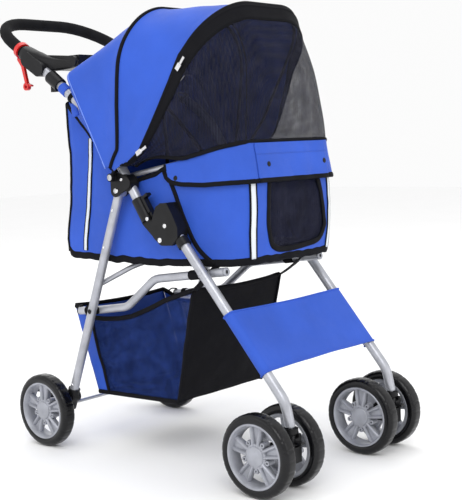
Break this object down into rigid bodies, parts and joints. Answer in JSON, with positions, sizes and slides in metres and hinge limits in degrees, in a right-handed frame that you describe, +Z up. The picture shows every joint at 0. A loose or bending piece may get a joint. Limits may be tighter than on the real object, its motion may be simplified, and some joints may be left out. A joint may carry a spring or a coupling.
{
  "type": "pet stroller",
  "caption": "Folding pet stroller: tube frame with swivel front casters, fabric cabin with canopy and mesh screen, footrest panel and hanging basket.",
  "frame": {"origin": "on the ground, under the middle of the stroller's bounding box", "axes": "+X forward, +Y to the stroller's left, +Z up"},
  "size_m": [0.838, 0.438, 0.8981],
  "materials": {
    "tube_paint": "satin silver grey paint",
    "steel": "zinc plated",
    "zip_metal": "nickel plated",
    "bow": "matt, under a fabric channel",
    "tyre": "smooth black EVA with a slight gloss",
    "rim": "satin silver grey",
    "black_plastic": "fine moulded grain",
    "blue_fabric": "woven coated polyester",
    "mesh": "black open mesh",
    "basket_mesh": "fine dark blue mesh with black ends",
    "mat_fabric": "quilted polyester",
    "board": "plain",
    "foam": "fine closed-cell foam",
    "red_plastic": "smooth"
  },
  "bodies": {
    "rear_frame": {"rear_leg_right": "tube_paint", "rear_leg_left": "tube_paint", "arch_bar": "tube_paint", "rear_axle": "steel", "axle_carriers": "black_plastic"},
    "brake_pedal_right": {"brake_pedal_right": "black_plastic"},
    "brake_pedal_left": {"brake_pedal_left": "black_plastic"},
    "rear_wheel_right": {"rear_tyre_right": "tyre", "rear_rim_right": "rim"},
    "rear_wheel_left": {"rear_tyre_left": "tyre", "rear_rim_left": "rim"},
    "link_frame": {"link_bar_right": "tube_paint", "link_bar_left": "tube_paint", "link_caps": "black_plastic", "link_spacers": "black_plastic", "floor_board": "board", "cabin_tub": "blue_fabric", "cabin_mat": "mat_fabric", "basket": "basket_mesh"},
    "front_flap": {"front_flap": "blue_fabric"},
    "handle_frame": {"side_tube_right": "tube_paint", "side_tube_left": "tube_paint", "handle_bar": "tube_paint", "grip_foam": "foam", "cup_tray": "black_plastic", "tube_clamps": "black_plastic", "hub_brackets": "black_plastic", "hub_pins": "steel", "upper_lock_right": "black_plastic", "upper_lock_left": "black_plastic", "mesh_screen": "mesh"},
    "lock_slider_right": {"lock_slider_right": "black_plastic"},
    "lock_slider_left": {"lock_slider_left": "black_plastic"},
    "safety_hook": {"safety_hook": "red_plastic"},
    "front_bar": {"front_bar": "tube_paint"},
    "mid_bow": {"mid_bow": "bow", "canopy_rear": "blue_fabric"},
    "front_bow": {"front_bow": "bow", "canopy_front": "blue_fabric", "zip_pulls": "zip_metal"},
    "front_frame": {"front_leg_right": "tube_paint", "front_leg_left": "tube_paint", "lower_lock_right": "black_plastic", "lower_lock_left": "black_plastic", "footrest": "blue_fabric"},
    "caster_right": {"caster_housing_right": "black_plastic", "caster_axle_right": "steel"},
    "caster_left": {"caster_housing_left": "black_plastic", "caster_axle_left": "steel"},
    "swivel_lock_right": {"swivel_lock_right": "black_plastic"},
    "swivel_lock_left": {"swivel_lock_left": "black_plastic"},
    "front_wheel_right_outer": {"front_tyre_right_outer": "tyre", "front_rim_right_outer": "rim"},
    "front_wheel_right_inner": {"front_tyre_right_inner": "tyre", "front_rim_right_inner": "rim"},
    "front_wheel_left_outer": {"front_tyre_left_outer": "tyre", "front_rim_left_outer": "rim"},
    "front_wheel_left_inner": {"front_tyre_left_inner": "tyre", "front_rim_left_inner": "rim"}
  },
  "joints": [
    {"name": "fold", "type": "hinge", "parent": "rear_frame", "child": "handle_frame", "pos_m": [-0.01396, 0, 0.53], "axis": [0, -1, 0], "range_deg": [0, 93.1], "deforming": ["cabin_tub", "basket", "mesh_screen", "canopy_rear", "canopy_front"]},
    {"name": "front_leg_fold", "type": "hinge", "parent": "handle_frame", "child": "front_frame", "pos_m": [0.09904, 0, 0.439], "axis": [0, -1, 0], "range_deg": [-150.2, 0]},
    {"name": "link_fold", "type": "hinge", "parent": "rear_frame", "child": "link_frame", "pos_m": [-0.10795, 0, 0.288], "axis": [0, -1, 0], "range_deg": [0, 37.5]},
    {"name": "front_bar_fold", "type": "hinge", "parent": "handle_frame", "child": "front_bar", "pos_m": [-0.01396, 0, 0.556], "axis": [0, -1, 0], "range_deg": [-66, 0]},
    {"name": "canopy_fold", "type": "hinge", "parent": "handle_frame", "child": "mid_bow", "pos_m": [-0.01396, 0, 0.556], "axis": [0, -1, 0], "range_deg": [0, 32], "deforming": ["canopy_rear", "canopy_front", "mesh_screen"]},
    {"name": "front_bow_fold", "type": "hinge", "parent": "mid_bow", "child": "front_bow", "pos_m": [-0.01396, 0, 0.556], "axis": [0, -1, 0], "range_deg": [0, 21.6]},
    {"name": "flap_lift", "type": "hinge", "parent": "link_frame", "child": "front_flap", "pos_m": [0.2749, 0, 0.593], "axis": [0, -1, 0], "range_deg": [0, 95]},
    {"name": "lock_release_right", "type": "slide", "parent": "handle_frame", "child": "lock_slider_right", "axis": [-0.5442, 0, 0.839], "range_m": [0, 0.01], "stiffness_N_per_m": 600, "springref_m": -0.004},
    {"name": "lock_release_left", "type": "slide", "parent": "handle_frame", "child": "lock_slider_left", "axis": [-0.5442, 0, 0.839], "range_m": [0, 0.01], "stiffness_N_per_m": 600, "springref_m": -0.004},
    {"name": "hook_swing", "type": "hinge", "parent": "handle_frame", "child": "safety_hook", "pos_m": [-0.29278, -0.15396, 0.81677], "axis": [-0.8525, 0.0815, 0.5163], "range_deg": [-25, 45]},
    {"name": "caster_swivel_right", "type": "hinge", "parent": "front_frame", "child": "caster_right", "pos_m": [0.38305, -0.162, 0.104], "axis": [0, 0, 1], "continuous": true},
    {"name": "caster_swivel_left", "type": "hinge", "parent": "front_frame", "child": "caster_left", "pos_m": [0.38305, 0.162, 0.104], "axis": [0, 0, 1], "continuous": true},
    {"name": "swivel_lock_right", "type": "slide", "parent": "caster_right", "child": "swivel_lock_right", "axis": [0, 0, 1], "range_m": [0, 0.005]},
    {"name": "swivel_lock_left", "type": "slide", "parent": "caster_left", "child": "swivel_lock_left", "axis": [0, 0, 1], "range_m": [0, 0.005]},
    {"name": "rear_wheel_right", "type": "hinge", "parent": "rear_frame", "child": "rear_wheel_right", "pos_m": [-0.23395, -0.19, 0.075], "axis": [0, 1, 0], "continuous": true},
    {"name": "rear_wheel_left", "type": "hinge", "parent": "rear_frame", "child": "rear_wheel_left", "pos_m": [-0.23395, 0.19, 0.075], "axis": [0, 1, 0], "continuous": true},
    {"name": "brake_right", "type": "hinge", "parent": "rear_frame", "child": "brake_pedal_right", "pos_m": [-0.25395, -0.162, 0.092], "axis": [0, -1, 0], "range_deg": [0, 20]},
    {"name": "brake_left", "type": "hinge", "parent": "rear_frame", "child": "brake_pedal_left", "pos_m": [-0.25395, 0.162, 0.092], "axis": [0, -1, 0], "range_deg": [0, 20]},
    {"name": "front_wheel_right_outer", "type": "hinge", "parent": "caster_right", "child": "front_wheel_right_outer", "pos_m": [0.34404, -0.204, 0.075], "axis": [0, 1, 0], "continuous": true},
    {"name": "front_wheel_right_inner", "type": "hinge", "parent": "caster_right", "child": "front_wheel_right_inner", "pos_m": [0.34404, -0.12, 0.075], "axis": [0, 1, 0], "continuous": true},
    {"name": "front_wheel_left_outer", "type": "hinge", "parent": "caster_left", "child": "front_wheel_left_outer", "pos_m": [0.34404, 0.204, 0.075], "axis": [0, 1, 0], "continuous": true},
    {"name": "front_wheel_left_inner", "type": "hinge", "parent": "caster_left", "child": "front_wheel_left_inner", "pos_m": [0.34404, 0.12, 0.075], "axis": [0, 1, 0], "continuous": true}
  ],
  "couplings": [
    {"joint": "front_leg_fold", "follows": "fold", "ratio": -1.6112},
    {"joint": "link_fold", "follows": "fold", "ratio": 0.4006},
    {"joint": "front_bar_fold", "follows": "fold", "ratio": -0.7},
    {"joint": "front_bow_fold", "follows": "canopy_fold", "ratio": 0.67}
  ]
}
